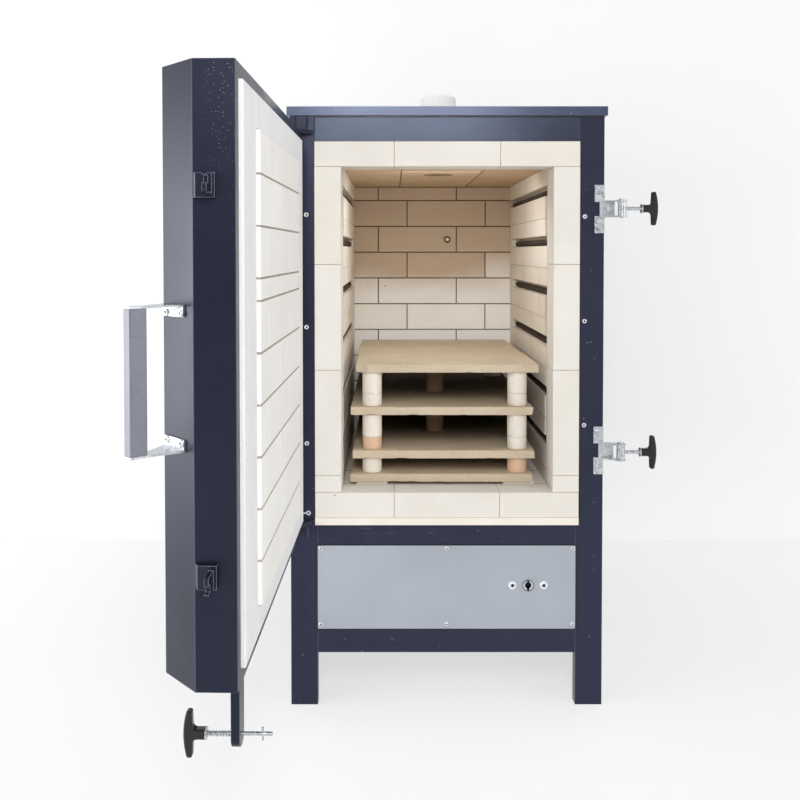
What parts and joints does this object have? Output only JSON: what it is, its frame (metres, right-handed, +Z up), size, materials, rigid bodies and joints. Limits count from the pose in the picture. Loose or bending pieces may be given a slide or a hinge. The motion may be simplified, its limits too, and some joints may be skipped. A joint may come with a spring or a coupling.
{
  "type": "front-loading pottery kiln",
  "caption": "Front-loading electric pottery kiln on legs, brick-lined chamber with shelves, side-hinged door with swing-bolt latches, handle and interlock key.",
  "frame": {"origin": "on the floor under the middle of the whole outline, with the door standing open", "axes": "+Z up, +Y from the front into the chamber, +X to the right seen from the front"},
  "size_m": [0.9216, 1.6656, 1.3822],
  "materials": {
    "body_paint": "satin dark blue-grey enamel",
    "panel_paint": "satin silver-grey enamel",
    "zinc": "bright zinc plate",
    "bare_steel": "mill finish",
    "grip": "satin grey",
    "black_plastic": "moulded black",
    "grey_plastic": "moulded dark grey",
    "firebrick": "porous insulating firebrick",
    "fibre": "pressed ceramic fibre",
    "kiln_shelf": "cordierite, washed and fired",
    "porcelain": "white glazed",
    "element_wire": "oxidised dark",
    "brass": "plain",
    "bung_clay": "fired fireclay"
  },
  "bodies": {
    "kiln": {"back_bricks": "firebrick", "back_cover": "body_paint", "backing_boards": "fibre", "cable_gland": "black_plastic", "elements": "element_wire", "front_beams": "body_paint", "front_columns": "body_paint", "front_screws": "zinc", "header": "body_paint", "hearth_bricks": "firebrick", "hinge_lugs": "body_paint", "interlock_switch": "grey_plastic", "jamb_bricks": "firebrick", "keyhole_plate": "zinc", "latch_brackets": "zinc", "latch_flange_bolts": "zinc", "lid": "body_paint", "lintel_bricks": "firebrick", "pivot_pins": "zinc", "rear_posts": "body_paint", "roof_bricks": "firebrick", "service_panel": "panel_paint", "shelf_1": "kiln_shelf", "shelf_2": "kiln_shelf", "shelf_3": "kiln_shelf", "shelf_props": "kiln_shelf", "shelf_top": "kiln_shelf", "side_panels": "body_paint", "sill_bricks": "firebrick", "sill_fibre": "fibre", "terminal_bushes": "porcelain", "terminal_clamps": "brass", "thermocouple": "porcelain", "trays_and_bearers": "bare_steel", "vent_collar": "bung_clay", "wall_bricks_left": "firebrick", "wall_bricks_right": "firebrick"},
    "door": {"door_casing": "body_paint", "door_bricks": "firebrick", "door_rim_fibre": "fibre", "door_board": "fibre", "keepers": "body_paint", "handle_grip": "grip", "handle_arms": "zinc", "handle_screws": "zinc", "key_post": "body_paint", "hinge_knuckles": "body_paint"},
    "key_plunger": {"key_washer": "zinc", "key_spring": "zinc"},
    "key": {"key_rod": "zinc", "key_tee": "black_plastic"},
    "latch_high": {"latch_bolt_high": "zinc"},
    "latch_high_washer": {"latch_washer_high": "zinc"},
    "latch_high_tee": {"latch_tee_high": "black_plastic"},
    "latch_low": {"latch_bolt_low": "zinc"},
    "latch_low_washer": {"latch_washer_low": "zinc"},
    "latch_low_tee": {"latch_tee_low": "black_plastic"},
    "vent_bung": {"vent_bung": "bung_clay"},
    "switch_plunger": {"switch_plunger": "grey_plastic"}
  },
  "joints": [
    {"name": "door_hinge", "type": "hinge", "parent": "kiln", "child": "door", "pos_m": [-0.34249, -0.10072, 0.83185], "axis": [0, 0, 1], "range_deg": [-75, 91.18]},
    {"name": "key_push", "type": "slide", "parent": "door", "child": "key_plunger", "axis": [0.9998, -0.0206, 0], "range_m": [0, 0.0155], "stiffness_N_per_m": 300, "deforming": ["key_spring"]},
    {"name": "key_turn", "type": "hinge", "parent": "key_plunger", "child": "key", "pos_m": [-0.35341, -0.63061, 0.266], "axis": [0.9998, -0.0206, 0], "range_deg": [0, 90]},
    {"name": "latch_high_swing", "type": "hinge", "parent": "kiln", "child": "latch_high", "pos_m": [0.38451, -0.06072, 1.091], "axis": [0, 0, 1], "range_deg": [-90, 30]},
    {"name": "latch_high_travel", "type": "slide", "parent": "latch_high", "child": "latch_high_washer", "axis": [-1, 0, 0], "range_m": [0, 0.005]},
    {"name": "latch_high_turn", "type": "hinge", "parent": "latch_high_washer", "child": "latch_high_tee", "pos_m": [0.40851, -0.06072, 1.091], "axis": [-1, 0, 0], "range_deg": [0, 1440]},
    {"name": "latch_low_swing", "type": "hinge", "parent": "kiln", "child": "latch_low", "pos_m": [0.38451, -0.06072, 0.564], "axis": [0, 0, 1], "range_deg": [-90, 30]},
    {"name": "latch_low_travel", "type": "slide", "parent": "latch_low", "child": "latch_low_washer", "axis": [-1, 0, 0], "range_m": [0, 0.005]},
    {"name": "latch_low_turn", "type": "hinge", "parent": "latch_low_washer", "child": "latch_low_tee", "pos_m": [0.40851, -0.06072, 0.564], "axis": [-1, 0, 0], "range_deg": [0, 1440]},
    {"name": "bung_lift", "type": "slide", "parent": "kiln", "child": "vent_bung", "axis": [0, 0, 1], "range_m": [0, 0.25]},
    {"name": "switch_press", "type": "slide", "parent": "kiln", "child": "switch_plunger", "axis": [0, 1, 0], "range_m": [0, 0.003], "stiffness_N_per_m": 200}
  ],
  "couplings": [
    {"joint": "latch_high_travel", "follows": "latch_high_turn", "m_per_rad": 0.00019894},
    {"joint": "latch_low_travel", "follows": "latch_low_turn", "m_per_rad": 0.00019894}
  ]
}
